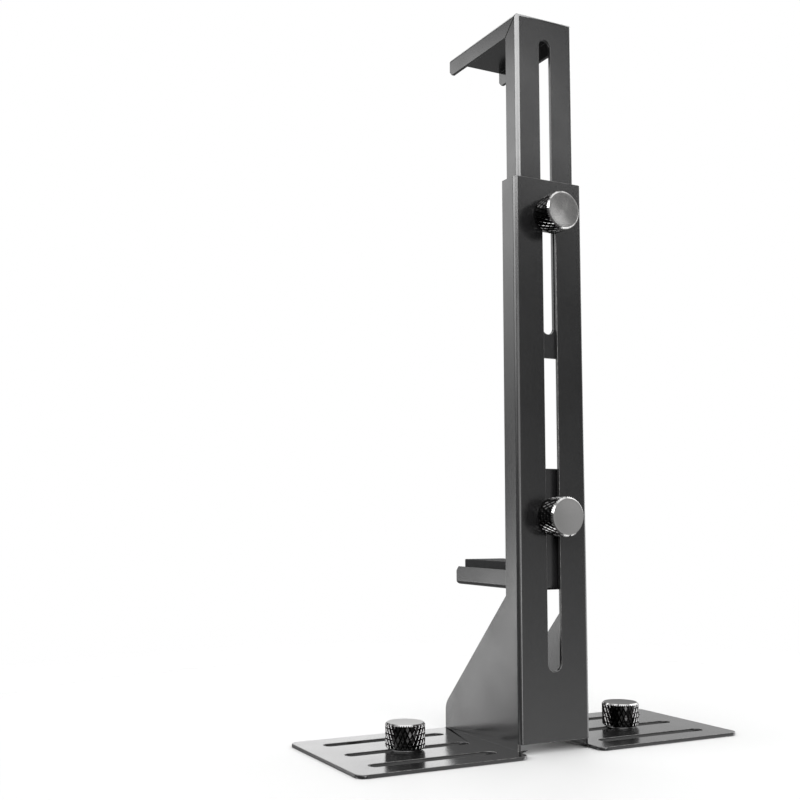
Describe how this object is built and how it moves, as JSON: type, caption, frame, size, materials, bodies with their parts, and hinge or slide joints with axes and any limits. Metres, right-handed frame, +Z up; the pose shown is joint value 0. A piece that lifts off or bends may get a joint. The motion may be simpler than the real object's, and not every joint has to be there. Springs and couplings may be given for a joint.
{
  "type": "graphics card support bracket",
  "caption": "Upright support bracket for a graphics card: slotted feet on a folded column, with an upper arm and a padded lower arm that slide and clamp with thumbscrews.",
  "frame": {"origin": "centre of the pattern of slots in the feet, on the feet's underside", "axes": "+Z up the column, +X along the feet, +Y from the column's front towards the graphics card"},
  "size_m": [0.12, 0.0468, 0.2078],
  "materials": {
    "base_sheet": "fine satin powder coat",
    "upper_sheet": "fine satin powder coat",
    "lower_sheet": "fine satin powder coat",
    "pad": "matt foam rubber",
    "screws": "black nickel, bright at the worn edges",
    "washers": "dark plated steel",
    "nuts": "zinc plated steel"
  },
  "bodies": {
    "base": {"base_bracket": "base_sheet", "upper_washer": "washers", "upper_bar_nut": "nuts"},
    "upper_arm": {"upper_arm": "upper_sheet"},
    "upper_screw": {"upper_screw": "screws"},
    "lower_arm": {"lower_arm": "lower_sheet", "lower_pad": "pad", "lower_washer": "washers", "lower_spacer": "washers", "lower_clinch_nut": "nuts"},
    "lower_screw": {"lower_screw": "screws"},
    "left_foot_clamp": {"left_foot_washer": "washers"},
    "left_foot_screw": {"left_foot_screw": "screws"},
    "right_foot_clamp": {"right_foot_washer": "washers"},
    "right_foot_screw": {"right_foot_screw": "screws"}
  },
  "joints": [
    {"name": "upper_arm_slide", "type": "slide", "parent": "base", "child": "upper_arm", "axis": [0, 0, 1], "range_m": [-0.02, 0.031]},
    {"name": "upper_screw_turn", "type": "hinge", "parent": "base", "child": "upper_screw", "pos_m": [0, -0.01755, 0.14535], "axis": [0, 1, 0], "continuous": true},
    {"name": "lower_arm_slide", "type": "slide", "parent": "base", "child": "lower_arm", "axis": [0, 0, 1], "range_m": [-0.038, 0.018]},
    {"name": "lower_screw_turn", "type": "hinge", "parent": "lower_arm", "child": "lower_screw", "pos_m": [0, -0.01755, 0.06205], "axis": [0, 1, 0], "continuous": true},
    {"name": "left_foot_clamp_slide", "type": "slide", "parent": "base", "child": "left_foot_clamp", "axis": [1, 0, 0], "range_m": [-0.0154, 0.0171]},
    {"name": "left_foot_screw_turn", "type": "hinge", "parent": "left_foot_clamp", "child": "left_foot_screw", "pos_m": [-0.036, 0, 0.001], "axis": [0, 0, 1], "continuous": true},
    {"name": "right_foot_clamp_slide", "type": "slide", "parent": "base", "child": "right_foot_clamp", "axis": [1, 0, 0], "range_m": [-0.0164, 0.0161]},
    {"name": "right_foot_screw_turn", "type": "hinge", "parent": "right_foot_clamp", "child": "right_foot_screw", "pos_m": [0.0352, 0, 0.001], "axis": [0, 0, 1], "continuous": true}
  ]
}
